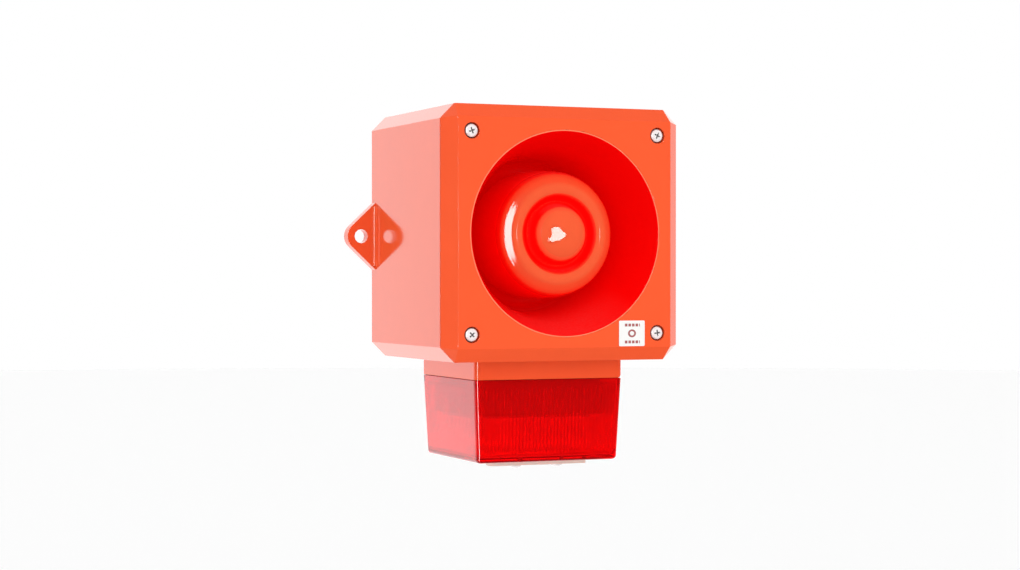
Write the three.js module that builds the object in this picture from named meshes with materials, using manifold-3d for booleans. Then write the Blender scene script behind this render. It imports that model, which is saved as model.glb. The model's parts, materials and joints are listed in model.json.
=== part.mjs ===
// A wall-mounted fire-alarm horn strobe: a square horn sounder with a red flashing beacon under it.
// Millimetres. The origin is the centre of the housing's back (wall) face, +Z is up, the horn faces -Y
// and +X is to the right as someone facing the horn sees it.
import * as THREE from 'three';
import { ConvexGeometry } from 'three/addons/geometries/ConvexGeometry.js';
import { mergeVertices } from 'three/addons/utils/BufferGeometryUtils.js';
import Module from 'manifold-3d';

const wasm = await Module();
wasm.setup();

// ---- driving dimensions ------------------------------------------------------------------------
const CASE = { halfX: 83, halfZ: 82, corner: 9.7, wall: 3.5, back: 4, frontY: -131.4 };
const COVER = { backY: -132.2, kneeY: -132.6, faceY: -141.3, faceHalfX: 74.4, faceHalfZ: 73.3, skin: 3.5 };
const SCREW_X = 65;
const SCREW_Z = 64.3;
const CORNERS = [[-1, 1], [1, 1], [1, -1], [-1, -1]];
const GAP = 0.3;

const LUG = { thick: 8.3, holeX: 93.4, tipR: 9.7, rootHalfZ: 23, holeR: 4.75, fillet: 3 };

const HORN = { lipOuter: 66.3, wall: 2.4, floorD: 76, backD: 79.3, steps: 36 };
const DRIVER = { caseR: 31, flangeR: 38, frontD: 79.6, backD: 113.8 };

const BOARD = { halfX: 56, halfZ: 73, backY: -14, frontY: -15.6, holeX: 49, holeZ: 66 };
const GLAND = { y: -40, z: -45, holeR: 10.2, boreR: 6.2 };
const PLUG_Y = -88;

const BASE = { halfX: 52.4, midY: -66.05, halfY: 49.55, round: 4, topZ: -82.3, bottomZ: -94.3, wall: 3.5 };
const LENS = { topZ: -94.9, bottomZ: -148.4, wall: 2.6, footHalfX: 49.9, footHalfY: 47.2, round: 2.5 };
const TRAY = { halfX: 43.5, halfY: 35, topZ: -94.7, bottomZ: -118.5, wall: 2.5 };
const FOOT = { screwX: 14.8, midY: -92, halfX: 34.5, halfY: 6, thick: 3 };
const BASE_SCREW_X = 40;

// ---- materials ---------------------------------------------------------------------------------
function finish(color, roughness, metalness) {
  return new THREE.MeshStandardMaterial({ color, roughness, metalness });
}

const redPlastic = finish(0xfa5a38, 0.15, 0);
const hornPlastic = finish(0xf23a1c, 0.12, 0);
const redLens = finish(0xd8060c, 0.08, 0);
const steel = finish(0xc9c7c2, 0.3, 1);
const brass = finish(0xc8a24a, 0.35, 1);
const rubber = finish(0x1d1d1f, 0.85, 0);
const blackPlastic = finish(0x232326, 0.45, 0);
const greyPlastic = finish(0x9a9da0, 0.5, 0);
const palePlastic = finish(0xeee2d4, 0.5, 0);
const boardGreen = finish(0x1f6b3a, 0.5, 0);
const terminalGreen = finish(0x3b9a56, 0.45, 0);
const copper = finish(0xb8683a, 0.35, 1);
const ferrite = finish(0x3c3a3a, 0.7, 0);
const glass = finish(0xe8f2f4, 0.05, 0);
const labelWhite = finish(0xf4f2ee, 0.4, 0);
const sleeveBlue = finish(0x2c4f8f, 0.5, 0);

// ---- solid helpers -----------------------------------------------------------------------------
function signedVolume(position, index) {
  const a = new THREE.Vector3();
  const b = new THREE.Vector3();
  const c = new THREE.Vector3();
  let total = 0;
  for (let i = 0; i < index.length; i += 3) {
    a.fromBufferAttribute(position, index[i]);
    b.fromBufferAttribute(position, index[i + 1]);
    c.fromBufferAttribute(position, index[i + 2]);
    total += a.dot(b.cross(c)) / 6;
  }
  return total;
}

function solid(geometry) {
  const bare = geometry.clone();
  bare.deleteAttribute('normal');
  bare.deleteAttribute('uv');
  const merged = mergeVertices(bare, 1e-4);
  const index = Array.from(merged.index.array);
  const kept = [];
  for (let i = 0; i < index.length; i += 3) {
    const [a, b, c] = index.slice(i, i + 3);
    if (a !== b && b !== c && a !== c) kept.push(a, b, c);
  }
  if (signedVolume(merged.attributes.position, kept) < 0) kept.reverse();
  return new wasm.Manifold(new wasm.Mesh({
    numProp: 3,
    vertProperties: new Float32Array(merged.attributes.position.array),
    triVerts: new Uint32Array(kept),
  }));
}

function cut(body, ...tools) {
  return tools.reduce((left, tool) => left.subtract(tool), body);
}

function join(body, ...others) {
  return others.reduce((whole, other) => whole.add(other), body);
}

function block(x0, x1, y0, y1, z0, z1) {
  const box = new THREE.BoxGeometry(Math.abs(x1 - x0), Math.abs(y1 - y0), Math.abs(z1 - z0));
  return solid(box.translate((x0 + x1) / 2, (y0 + y1) / 2, (z0 + z1) / 2));
}

function rodY(radius, y0, y1, x = 0, z = 0, sides = 16) {
  const rod = new THREE.CylinderGeometry(radius, radius, Math.abs(y1 - y0), sides);
  return solid(rod.translate(x, (y0 + y1) / 2, z));
}

function rodX(radius, x0, x1, y = 0, z = 0, sides = 20) {
  const rod = new THREE.CylinderGeometry(radius, radius, Math.abs(x1 - x0), sides).rotateZ(Math.PI / 2);
  return solid(rod.translate((x0 + x1) / 2, y, z));
}

function rodZ(radius, z0, z1, x = 0, y = 0, sides = 20) {
  const rod = new THREE.CylinderGeometry(radius, radius, Math.abs(z1 - z0), sides).rotateX(Math.PI / 2);
  return solid(rod.translate(x, y, (z0 + z1) / 2));
}

// A shape drawn in X and Z, pushed forward (towards -Y) from yBack to yFront.
function plateY(shape, yBack, yFront, curveSegments = 8) {
  const settings = { depth: yBack - yFront, bevelEnabled: false, curveSegments };
  const slab = new THREE.ExtrudeGeometry(shape, settings);
  return solid(slab.rotateX(Math.PI / 2).translate(0, yBack, 0));
}

// A shape drawn in X and Y, raised from z0 to z1.
function plateZ(shape, z0, z1, curveSegments = 2) {
  const slab = new THREE.ExtrudeGeometry(shape, { depth: z1 - z0, bevelEnabled: false, curveSegments });
  return solid(slab.translate(0, 0, z0));
}

// A closed profile of [radius, depth behind the front face], turned about the horn's axis.
function turned(profile, steps = HORN.steps) {
  const points = profile.map(([r, d]) => new THREE.Vector2(r, COVER.faceY + d));
  const first = points[0];
  const last = points[points.length - 1];
  const onAxis = first.x === 0 && last.x === 0;
  if (!onAxis) points.push(first.clone());
  return solid(new THREE.LatheGeometry(points, steps));
}

// A closed profile of [radius, distance along X], turned about a line along +X at (y, z).
function turnedX(profile, y, z, steps = 20) {
  const points = profile.map(([r, x]) => new THREE.Vector2(r, x));
  if (points[0].x !== 0) points.push(points[0].clone());
  const ring = new THREE.LatheGeometry(points, steps).rotateZ(-Math.PI / 2);
  return solid(ring.translate(0, y, z));
}

function octagon(halfX, halfZ, corner) {
  const shape = new THREE.Shape();
  shape.moveTo(halfX - corner, halfZ);
  shape.lineTo(-halfX + corner, halfZ);
  shape.lineTo(-halfX, halfZ - corner);
  shape.lineTo(-halfX, -halfZ + corner);
  shape.lineTo(-halfX + corner, -halfZ);
  shape.lineTo(halfX - corner, -halfZ);
  shape.lineTo(halfX, -halfZ + corner);
  shape.lineTo(halfX, halfZ - corner);
  shape.closePath();
  return shape;
}

function roundedBox(halfX, halfY, radius, x = 0, y = 0) {
  const shape = new THREE.Shape();
  shape.absarc(x + halfX - radius, y + halfY - radius, radius, 0, Math.PI / 2);
  shape.absarc(x - halfX + radius, y + halfY - radius, radius, Math.PI / 2, Math.PI);
  shape.absarc(x - halfX + radius, y - halfY + radius, radius, Math.PI, 1.5 * Math.PI);
  shape.absarc(x + halfX - radius, y - halfY + radius, radius, 1.5 * Math.PI, 2 * Math.PI);
  shape.closePath();
  return shape;
}

// ---- the assembly ------------------------------------------------------------------------------
const hornStrobe = new THREE.Group();

function part(name, body, material) {
  const found = body.getMesh();
  const geometry = new THREE.BufferGeometry();
  const stride = found.numProp;
  const count = found.vertProperties.length / stride;
  const position = new Float32Array(count * 3);
  for (let i = 0; i < count; i += 1) {
    for (let k = 0; k < 3; k += 1) position[3 * i + k] = found.vertProperties[stride * i + k];
  }
  geometry.setAttribute('position', new THREE.BufferAttribute(position, 3));
  geometry.setIndex(new THREE.BufferAttribute(new Uint32Array(found.triVerts), 1));
  geometry.computeVertexNormals();
  const mesh = new THREE.Mesh(geometry, material);
  mesh.name = name;
  hornStrobe.add(mesh);
}

// ---- rear housing with its two mounting lugs ---------------------------------------------------
function lugShape(side) {
  const { holeX, tipR, rootHalfZ, holeR } = LUG;
  const rootX = CASE.halfX - 1;
  const away = Math.hypot(holeX - CASE.halfX, rootHalfZ);
  const toRoot = Math.PI - Math.atan2(rootHalfZ, holeX - CASE.halfX);
  const edge = toRoot - Math.acos(tipR / away);
  const shape = new THREE.Shape();
  shape.moveTo(side * rootX, rootHalfZ + 1);
  shape.lineTo(side * CASE.halfX, rootHalfZ);
  const sweep = side > 0 ? [edge, -edge] : [Math.PI - edge, Math.PI + edge];
  shape.absarc(side * holeX, 0, tipR, sweep[0], sweep[1], side > 0);
  shape.lineTo(side * CASE.halfX, -rootHalfZ);
  shape.lineTo(side * rootX, -rootHalfZ - 1);
  shape.closePath();
  const hole = new THREE.Path();
  hole.absarc(side * holeX, 0, holeR, 0, 2 * Math.PI);
  shape.holes.push(hole);
  return shape;
}

// The web that fills the corner between a lug's front face and the side wall.
function lugFillet(side) {
  const r = LUG.fillet;
  const shape = new THREE.Shape();
  shape.moveTo(-1, 1);
  shape.lineTo(-1, -r);
  shape.lineTo(0, -r);
  shape.absarc(r, -r, r, Math.PI, Math.PI / 2, true);
  shape.lineTo(r, 1);
  shape.closePath();
  const half = LUG.rootHalfZ - 2.6;
  const web = new THREE.ExtrudeGeometry(shape, { depth: 2 * half, bevelEnabled: false, curveSegments: 2 });
  web.translate(0, 0, -half);
  if (side < 0) web.scale(-1, 1, 1);
  return solid(web.translate(side * CASE.halfX, -LUG.thick, 0));
}

function rearHousing() {
  const { halfX, halfZ, corner, wall, back, frontY } = CASE;
  const outer = plateY(octagon(halfX, halfZ, corner), 0, frontY);
  const inner = plateY(octagon(halfX - wall, halfZ - wall, corner - 1.5), -back, frontY - 1);
  const lugs = [-1, 1].flatMap((side) => [plateY(lugShape(side), 0, -LUG.thick, 6), lugFillet(side)]);
  let body = cut(join(outer, ...lugs), inner);
  for (const [sx, sz] of CORNERS) {
    const boss = rodY(6.5, -back + 1, frontY + 0.6, sx * SCREW_X, sz * SCREW_Z, 12);
    const webZ = sz * SCREW_Z;
    const web = block(sx * SCREW_X, sx * (halfX - 1), -back + 1, frontY + 0.6, webZ - 1.5, webZ + 1.5);
    const post = rodY(4, -back + 1, BOARD.backY + GAP, sx * BOARD.holeX, sz * BOARD.holeZ, 10);
    body = join(body, boss, web, post);
  }
  for (const [sx, sz] of CORNERS) {
    const coverSeat = rodY(2.65, frontY + 15, frontY - 1, sx * SCREW_X, sz * SCREW_Z, 12);
    const boardSeat = rodY(1.7, -back - 1, BOARD.backY - 1, sx * BOARD.holeX, sz * BOARD.holeZ, 8);
    body = cut(body, coverSeat, boardSeat);
  }
  for (const side of [-1, 1]) {
    body = cut(body, rodZ(2.2, -halfZ - 1, -halfZ + wall + 1, side * BASE_SCREW_X, BASE.midY, 10));
  }
  const leadHole = rodZ(7, -halfZ - 1, -halfZ + wall + 1, 0, BASE.midY, 14);
  const glandHole = rodX(GLAND.holeR, halfX - wall - 1, halfX + 1, GLAND.y, GLAND.z, 20);
  const plugHole = rodX(GLAND.holeR, halfX - wall - 1, halfX + 1, PLUG_Y, GLAND.z, 20);
  return cut(body, leadHole, glandHole, plugHole);
}

// ---- front cover -------------------------------------------------------------------------------
function frontHull(inset, backY, kneeY, faceY, faceInset) {
  const points = [];
  const hx = CASE.halfX - inset;
  const hz = CASE.halfZ - inset;
  const corner = CASE.corner - inset * 0.4;
  for (const y of [backY, kneeY]) {
    for (const [sx, sz] of CORNERS) {
      points.push(new THREE.Vector3(sx * (hx - corner), y, sz * hz));
      points.push(new THREE.Vector3(sx * hx, y, sz * (hz - corner)));
    }
  }
  for (const [sx, sz] of CORNERS) {
    const x = sx * (COVER.faceHalfX - faceInset);
    points.push(new THREE.Vector3(x, faceY, sz * (COVER.faceHalfZ - faceInset)));
  }
  return solid(new ConvexGeometry(points));
}

function frontCover() {
  const { backY, kneeY, faceY, skin } = COVER;
  const shell = cut(
    frontHull(0, backY, kneeY, faceY, 0),
    frontHull(skin + 1.6, backY + 1, kneeY, faceY + skin, skin - 1),
  );
  let body = shell;
  for (const [sx, sz] of CORNERS) {
    body = join(body, rodY(7, backY, faceY + skin - 1, sx * SCREW_X, sz * SCREW_Z, 12));
  }
  const groove = cut(
    plateY(octagon(CASE.halfX - 1.2, CASE.halfZ - 1.2, CASE.corner - 0.4), backY + 1, backY - 1.6),
    plateY(octagon(CASE.halfX - 3.6, CASE.halfZ - 3.6, CASE.corner - 1.3), backY + 2, backY - 2),
  );
  body = cut(body, groove, rodY(HORN.lipOuter + GAP, faceY + skin + 2, faceY - 1, 0, 0, HORN.steps));
  for (const [sx, sz] of CORNERS) {
    const x = sx * SCREW_X;
    const z = sz * SCREW_Z;
    body = cut(body, rodY(5.25, faceY + 3.2, faceY - 1, x, z, 20), rodY(2.8, backY + 1, faceY, x, z, 10));
  }
  return body;
}

function coverGasket() {
  const { backY } = COVER;
  return cut(
    plateY(octagon(CASE.halfX - 1.5, CASE.halfZ - 1.5, CASE.corner - 0.55), backY + 0.5, backY - 1.3),
    plateY(octagon(CASE.halfX - 3.3, CASE.halfZ - 3.3, CASE.corner - 1.15), backY + 1, backY - 2),
  );
}

// A cross-recess pan-head screw whose head looks towards -Y; headY is the face under its head.
function coverScrew(sx, sz) {
  const x = sx * SCREW_X;
  const z = sz * SCREW_Z;
  const headY = COVER.faceY + 2.9;
  const profile = [[0, 0], [3.1, 0.15], [4.4, 1.1], [4.75, 3.1], [2.35, 3.1], [2.35, 17.4], [0, 18.6]];
  const points = profile.map(([r, d]) => new THREE.Vector2(r, d));
  const pin = solid(new THREE.LatheGeometry(points, 14).translate(x, headY - 3.1, z));
  const slots = [0, 1].map((turn) => {
    const slot = new THREE.BoxGeometry(5.2, 4, 1.1).rotateY(Math.PI / 4 + (turn * Math.PI) / 2);
    return solid(slot.translate(x, headY - 3.1, z));
  });
  return cut(pin, ...slots);
}

function ratingLabel() {
  return plateY(roundedBox(9.2, 8.3, 0.8, 46.4, -64.4), COVER.faceY - 0.05, COVER.faceY - 0.35, 3);
}

// ---- the re-entrant horn and its compression driver --------------------------------------------
const FLARE_INSIDE = [
  [65.6, 0.15], [65.1, 0.9], [61.3, 10], [57.6, 21], [55.2, 31], [53.0, 44], [51.4, 58], [50.6, 70],
  [49, 74.4], [44.6, HORN.floorD],
];

function hornFlare() {
  const outside = FLARE_INSIDE.slice(2, 8).map(([r, d]) => [r + HORN.wall, d + 0.6]).reverse();
  return turned([
    ...FLARE_INSIDE,
    [20, HORN.floorD], [17.6, 73], [16.4, 37], [14.6, 35.4], [12.8, 37],
    [9.5, HORN.backD], [50, HORN.backD], [52.4, 77.2],
    ...outside,
    [66, 6.5], [69.2, 6.5], [69.2, 4.1], [66.3, 4.1], [HORN.lipOuter, 0.15],
  ]);
}

const PLUG_FRONT = [
  [0, 2.9], [7, 3.7], [13.4, 6.4], [17, 8.9], [17.8, 11.4], [18.6, 15.8], [20.5, 17.4], [22.5, 15.4],
  [24.6, 11.9], [28.2, 10.2], [32.4, 11.8], [36, 16], [38.6, 22], [40.2, 31], [41.3, 45], [42, 60],
];

function hornPlug() {
  const inside = [[40.9, 61.6], [39.6, 60.4], [37.9, 33], [35.2, 25.4], [31, 21.6], [12, 21.4], [0, 25]];
  let body = turned([...PLUG_FRONT, ...inside]);
  for (let leg = 0; leg < 3; leg += 1) {
    const rib = new THREE.BoxGeometry(4.6, 17, 5).translate(40.1, COVER.faceY + 67.1, 0);
    body = join(body, solid(rib.rotateY(Math.PI / 4 + (leg * 2 * Math.PI) / 3)));
  }
  return body;
}

function driverCase() {
  const { caseR, flangeR, frontD, backD } = DRIVER;
  return turned([
    [28, frontD], [flangeR, frontD], [flangeR, frontD + 3], [caseR, frontD + 3], [caseR, backD - 1.5],
    [caseR - 1.5, backD], [5, backD], [5, backD - 2.2], [28, backD - 2.2],
  ], 28);
}

function driverTopPlate() {
  return turned([[14.1, 89.5], [27.6, 89.5], [27.6, 94.4], [14.1, 94.4]], 28);
}

function driverMagnet() {
  return turned([[16.5, 94.7], [27.6, 94.7], [27.6, 105.4], [16.5, 105.4]], 28);
}

function driverYoke() {
  return turned([
    [0, 89.5], [11.2, 89.5], [11.6, 90.2], [11.6, 105.7], [27.6, 105.7], [27.6, 111.2], [0, 111.2],
  ], 28);
}

function voiceCoil() {
  return turned([[12.3, 86.6], [13.4, 86.6], [13.4, 97.4], [12.3, 97.4]], 24);
}

function diaphragm() {
  const front = [[0, 81.4], [6.5, 82], [11.5, 84], [14, 85.5], [18, 85.2], [22.5, 84.1], [26.6, 85.6]];
  const back = front.map(([r, d]) => [r, d + 0.8]).reverse();
  return turned([...front, ...back], 24);
}

function driverPlug() {
  const y = COVER.faceY + DRIVER.backD;
  return join(block(-4, 4, y - 1, y + 3.2, -2.4, 2.4), block(-5.6, 5.6, y + 0.3, y + 8.2, -3, 3));
}

// ---- the sounder board -------------------------------------------------------------------------
const FACE = BOARD.frontY - GAP;

function mainBoard() {
  const outline = roundedBox(BOARD.halfX, BOARD.halfZ, 3);
  let body = plateY(outline, BOARD.backY, BOARD.frontY, 3);
  for (const [sx, sz] of CORNERS) {
    body = cut(body, rodY(1.9, BOARD.backY + 1, BOARD.frontY - 1, sx * BOARD.holeX, sz * BOARD.holeZ, 8));
  }
  return body;
}

function boardScrew(sx, sz) {
  const profile = [[0, 0], [2, 0.2], [2.9, 1.2], [2.9, 2], [1.4, 2], [1.4, 9.2], [0, 9.8]];
  const points = profile.map(([r, d]) => new THREE.Vector2(r, d));
  const pin = new THREE.LatheGeometry(points, 10).translate(sx * BOARD.holeX, FACE - 2.3, sz * BOARD.holeZ);
  const slot = new THREE.BoxGeometry(5, 1.6, 0.8).translate(sx * BOARD.holeX, FACE - 2.3, sz * BOARD.holeZ);
  return cut(solid(pin), solid(slot));
}

function boardSocket() {
  const outer = block(-8, 8, FACE, -24.6, -5, 5);
  return cut(outer, block(-6, 6, -18.2, -25, -3.4, 3.4));
}

const TERMINAL = { x: -25, z: -60, pitch: 9, count: 4, depth: 13, halfZ: 7 };

function terminalX(i) {
  return TERMINAL.x + (i - (TERMINAL.count - 1) / 2) * TERMINAL.pitch;
}

function terminalBlock() {
  const half = (TERMINAL.count * TERMINAL.pitch) / 2;
  const { x, z, depth, halfZ } = TERMINAL;
  let body = block(x - half, x + half, FACE, FACE - depth, z - halfZ, z + halfZ);
  body = cut(body, block(x - half - 1, x + half + 1, FACE - 9.5, FACE - depth - 1, z - halfZ - 1, z - 3.6));
  for (let i = 0; i < TERMINAL.count; i += 1) {
    const wellX = terminalX(i);
    const well = rodY(2.9, FACE - 5, FACE - depth - 1, wellX, z + 1.5, 14);
    const wireEntry = block(wellX - 2, wellX + 2, FACE - 2.2, FACE - 6.8, z - halfZ - 1, z - 1.8);
    body = cut(body, well, wireEntry);
  }
  return body;
}

function terminalScrew(i) {
  const x = terminalX(i);
  const z = TERMINAL.z + 1.5;
  const top = FACE - TERMINAL.depth + 2.2;
  return cut(rodY(2.5, FACE - 5.4, top, x, z, 14), block(x - 3, x + 3, top + 0.9, top - 1, z - 0.4, z + 0.4));
}

const SWITCHES = { x: 27, z: -58, pitch: 2.54, count: 4, travel: 1.7 };

function switchX(i) {
  return SWITCHES.x + (i - (SWITCHES.count - 1) / 2) * SWITCHES.pitch;
}

function toneSwitchBody() {
  const half = (SWITCHES.count * SWITCHES.pitch) / 2 + 0.7;
  const { x, z } = SWITCHES;
  let body = block(x - half, x + half, FACE, FACE - 5, z - 3.6, z + 3.6);
  for (let i = 0; i < SWITCHES.count; i += 1) {
    body = cut(body, block(switchX(i) - 0.75, switchX(i) + 0.75, FACE - 3, FACE - 6, z - 1.9, z + 1.9));
  }
  return body;
}

function toneSlider(i) {
  const x = switchX(i);
  const { z } = SWITCHES;
  return block(x - 0.55, x + 0.55, FACE - 3.2, FACE - 5.9, z - 1.7, z);
}

const VOLUME = { x: 44, z: -57, radius: 3.4 };

function volumeBody() {
  const { x, z, radius } = VOLUME;
  const base = block(x - 5, x + 5, FACE, FACE - 6, z - 5, z + 5);
  return cut(base, rodY(radius + 0.3, FACE - 2.5, FACE - 7, x, z, 24));
}

function volumeRotor() {
  const { x, z, radius } = VOLUME;
  const knob = rodY(radius, FACE - 2.8, FACE - 7, x, z, 24);
  const slot = block(x - 0.5, x + 0.5, FACE - 5.6, FACE - 8, z - 2.8, z + 2.8);
  return cut(knob, slot);
}

function outputTransformer() {
  const core = block(22, 50, FACE, FACE - 22, 44, 58);
  const winding = plateY(roundedBox(9.5, 11.5, 3, 36, 51), FACE - 3, FACE - 19, 3);
  return join(core, winding);
}

function standingCapacitor(radius, height, x, z) {
  return cut(
    rodY(radius, FACE, FACE - height, x, z, 20),
    cut(rodY(radius + 1, FACE - 3.6, FACE - 5, x, z, 20), rodY(radius - 0.7, FACE - 3, FACE - 6, x, z, 20)),
  );
}

// ---- cable entries on the right-hand wall ------------------------------------------------------
function hexBar(acrossFlats, x0, x1, y, z) {
  return rodX(acrossFlats / Math.sqrt(3), x0, x1, y, z, 6);
}

function glandBody() {
  const { y, z, boreR } = GLAND;
  const inner = CASE.halfX - CASE.wall;
  const { halfX } = CASE;
  const stem = turnedX([
    [boreR, inner - 9], [9.8, inner - 9], [9.8, halfX + 2.2], [boreR, halfX + 2.2],
  ], y, z);
  const hex = cut(hexBar(24, halfX + 2.1, halfX + 8, y, z), rodX(boreR, halfX, halfX + 9, y, z, 24));
  const x = halfX + 7.9;
  const collar = turnedX([[9, x - 0.3], [10, x - 0.3], [10, x + 9], [9, x + 9]], y, z);
  const seat = cut(rodX(9.5, x - 0.4, x + 1.2, y, z, 24), rodX(boreR, x - 1, x + 3, y, z, 24));
  return join(stem, hex, collar, seat);
}

function glandNut() {
  const { y, z, boreR } = GLAND;
  const x = CASE.halfX + 8.4;
  const dome = turnedX([
    [10.3, x], [12.6, x], [12.6, x + 8], [11.4, x + 13], [8.6, x + 15.4], [boreR + 0.4, x + 15.6],
    [boreR + 0.4, x + 11], [10.3, x + 10],
  ], y, z);
  return dome;
}

function glandSeal() {
  const { y, z, boreR } = GLAND;
  const x = CASE.halfX + 9.6;
  return turnedX([[boreR, x], [8.7, x], [8.7, x + 7.6], [7.2, x + 8.8], [boreR, x + 8.8]], y, z);
}

function glandLocknut() {
  const x = CASE.halfX - CASE.wall - GAP;
  const { y, z } = GLAND;
  return cut(hexBar(25, x - 4.5, x, y, z), rodX(10.1, x - 6, x + 1, y, z, 24));
}

function stoppingPlug() {
  const z = GLAND.z;
  const inner = CASE.halfX - CASE.wall;
  const x = CASE.halfX + GAP;
  const stem = turnedX([
    [0, inner - 5], [9.4, inner - 5], [9.8, inner - 4], [9.8, x], [13, x], [13, x + 2.4],
    [11.8, x + 3.6], [0, x + 3.6],
  ], PLUG_Y, z);
  return cut(stem, block(x + 2, x + 5, PLUG_Y - 6.5, PLUG_Y + 6.5, z - 0.8, z + 0.8));
}

// ---- strobe base, under the housing ------------------------------------------------------------
function ringZ(outerInset, innerInset, z0, z1) {
  const { halfX, midY, halfY, round } = BASE;
  const outer = roundedBox(halfX - outerInset, halfY - outerInset, round - outerInset * 0.5, 0, midY);
  const inner = roundedBox(halfX - innerInset, halfY - innerInset, round - innerInset * 0.5, 0, midY);
  return cut(plateZ(outer, z0, z1), plateZ(inner, z0 - 1, z1 + 1));
}

function strobeBase() {
  const { halfX, midY, halfY, round, topZ, bottomZ, wall } = BASE;
  const outer = plateZ(roundedBox(halfX, halfY, round, 0, midY), bottomZ, topZ);
  const hollow = plateZ(roundedBox(halfX - wall, halfY - wall, round - 2, 0, midY), bottomZ + 3, topZ + 1);
  let body = cut(outer, hollow);
  for (const side of [-1, 1]) {
    const post = rodZ(4.4, bottomZ + 2.5, topZ, side * BASE_SCREW_X, midY, 16);
    body = cut(join(body, post), rodZ(1.7, bottomZ + 3.4, topZ + 1, side * BASE_SCREW_X, midY, 12));
  }
  const leadHole = rodZ(6, bottomZ - 1, bottomZ + 4, 0, midY, 20);
  const prise = new THREE.BoxGeometry(3.4, 14, 4).rotateY(Math.PI / 4);
  const priseNotch = solid(prise.translate(halfX - 0.1, midY - halfY + 5, bottomZ - 0.1));
  const topGroove = ringZ(0.8, 2.7, topZ - 1.5, topZ + 1);
  const bottomGroove = ringZ(1, 2.9, bottomZ - 1, bottomZ + 1.2);
  return cut(body, leadHole, priseNotch, topGroove, bottomGroove);
}

function baseScrew(side) {
  const x = side * BASE_SCREW_X;
  const y = BASE.midY;
  const z = -CASE.halfZ + CASE.wall + GAP;
  const profile = [[0, -8.4], [1.4, -8], [1.4, 0], [3.4, 0], [3.4, 1.2], [2.2, 2.2], [0, 2.4]];
  const points = profile.map(([r, d]) => new THREE.Vector2(r, d));
  return solid(new THREE.LatheGeometry(points, 14).rotateX(Math.PI / 2).translate(x, y, z));
}

function strobeTray() {
  const { halfX, halfY, topZ, bottomZ, wall } = TRAY;
  const outer = plateZ(roundedBox(halfX, halfY, 3, 0, BASE.midY), bottomZ, topZ);
  const hollow = plateZ(roundedBox(halfX - wall, halfY - wall, 1.5, 0, BASE.midY), bottomZ - 1, topZ - wall);
  return cut(outer, hollow, rodZ(4, topZ - wall - 1, topZ + 1, 0, BASE.midY, 16));
}

function strobeBoard() {
  const half = TRAY.wall + GAP;
  const z = TRAY.bottomZ + 1.5;
  const board = plateZ(roundedBox(TRAY.halfX - half, TRAY.halfY - half, 1.2, 0, BASE.midY), z, z + 1.6);
  return cut(board, rodZ(1.2, z - 1, z + 3, -8, BASE.midY, 10), rodZ(1.2, z - 1, z + 3, 8, BASE.midY, 10));
}

function strobeCapacitor() {
  const z = TRAY.bottomZ + 11.6;
  return rodX(8, -30, 8, BASE.midY + 19, z, 20);
}

function triggerCoil() {
  const z = TRAY.bottomZ + 3.4;
  const y = BASE.midY + 16;
  const foot = rodZ(5.6, z, z + 3, 26, y, 18);
  const winding = rodZ(4.4, z + 2.9, z + 9.5, 26, y, 18);
  const head = rodZ(5.6, z + 9.4, z + 12, 26, y, 18);
  return join(foot, winding, head);
}

function reflector() {
  const z = TRAY.bottomZ + 1.2;
  const plate = plateZ(roundedBox(36, 27, 4, 0, BASE.midY), z - 3.2, z - 1.2);
  return cut(plate, rodZ(3.6, z - 5, z + 1, -8, BASE.midY, 14), rodZ(3.6, z - 5, z + 1, 8, BASE.midY, 14));
}

// The flash tube is a U of glass whose two legs stand in the reflector.
function flashTube() {
  const top = TRAY.bottomZ + 1.2;
  const path = new THREE.CurvePath();
  const bend = TRAY.bottomZ - 14;
  const at = (x, z) => new THREE.Vector3(x, BASE.midY, z);
  path.add(new THREE.LineCurve3(at(-8, top), at(-8, bend)));
  class Turn extends THREE.Curve {
    getPoint(t, out = new THREE.Vector3()) {
      const a = Math.PI * (1 + t);
      return out.set(8 * Math.cos(a), BASE.midY, bend + 8 * Math.sin(a));
    }
  }
  path.add(new Turn());
  path.add(new THREE.LineCurve3(at(8, bend), at(8, top)));
  const section = new THREE.Shape();
  section.absarc(0, 0, 2.8, 0, 2 * Math.PI);
  const settings = { steps: 16, bevelEnabled: false, extrudePath: path, curveSegments: 5 };
  return solid(new THREE.ExtrudeGeometry(section, settings));
}

// ---- lens and what is under it -----------------------------------------------------------------
function tapered(halfX, halfY, footX, footY, round, z0, z1, bevel) {
  const settings = {
    depth: z1 - z0 - bevel, curveSegments: 3, steps: 1,
    bevelEnabled: bevel > 0, bevelSize: bevel, bevelThickness: bevel, bevelOffset: -bevel, bevelSegments: 2,
  };
  const unit = new THREE.ExtrudeGeometry(roundedBox(halfX, halfY, round), settings);
  unit.translate(0, 0, z0 + bevel);
  const position = unit.attributes.position;
  for (let i = 0; i < position.count; i += 1) {
    const t = (z1 - position.getZ(i)) / (z1 - z0);
    position.setX(i, position.getX(i) * (1 + t * (footX / halfX - 1)));
    position.setY(i, position.getY(i) * (1 + t * (footY / halfY - 1)) + BASE.midY);
  }
  return solid(unit);
}

function strobeLens() {
  const { topZ, bottomZ, wall, footHalfX, footHalfY, round } = LENS;
  const { halfX, halfY } = BASE;
  const outer = tapered(halfX, halfY, footHalfX, footHalfY, BASE.round, bottomZ, topZ, round);
  const inner = tapered(
    halfX - wall, halfY - wall, footHalfX - wall, footHalfY - wall, 2.2, bottomZ + 3, topZ + 4, 0,
  );
  const above = block(-60, 60, BASE.midY - 60, BASE.midY + 60, topZ, topZ + 9);
  let body = cut(outer, inner, above);
  for (const side of [-1, 1]) {
    const boss = rodZ(4.2, bottomZ + 2, bottomZ + 11, side * FOOT.screwX, FOOT.midY, 16);
    body = cut(join(body, boss), rodZ(1.9, bottomZ - 1, bottomZ + 9, side * FOOT.screwX, FOOT.midY, 14));
  }
  return body;
}

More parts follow.
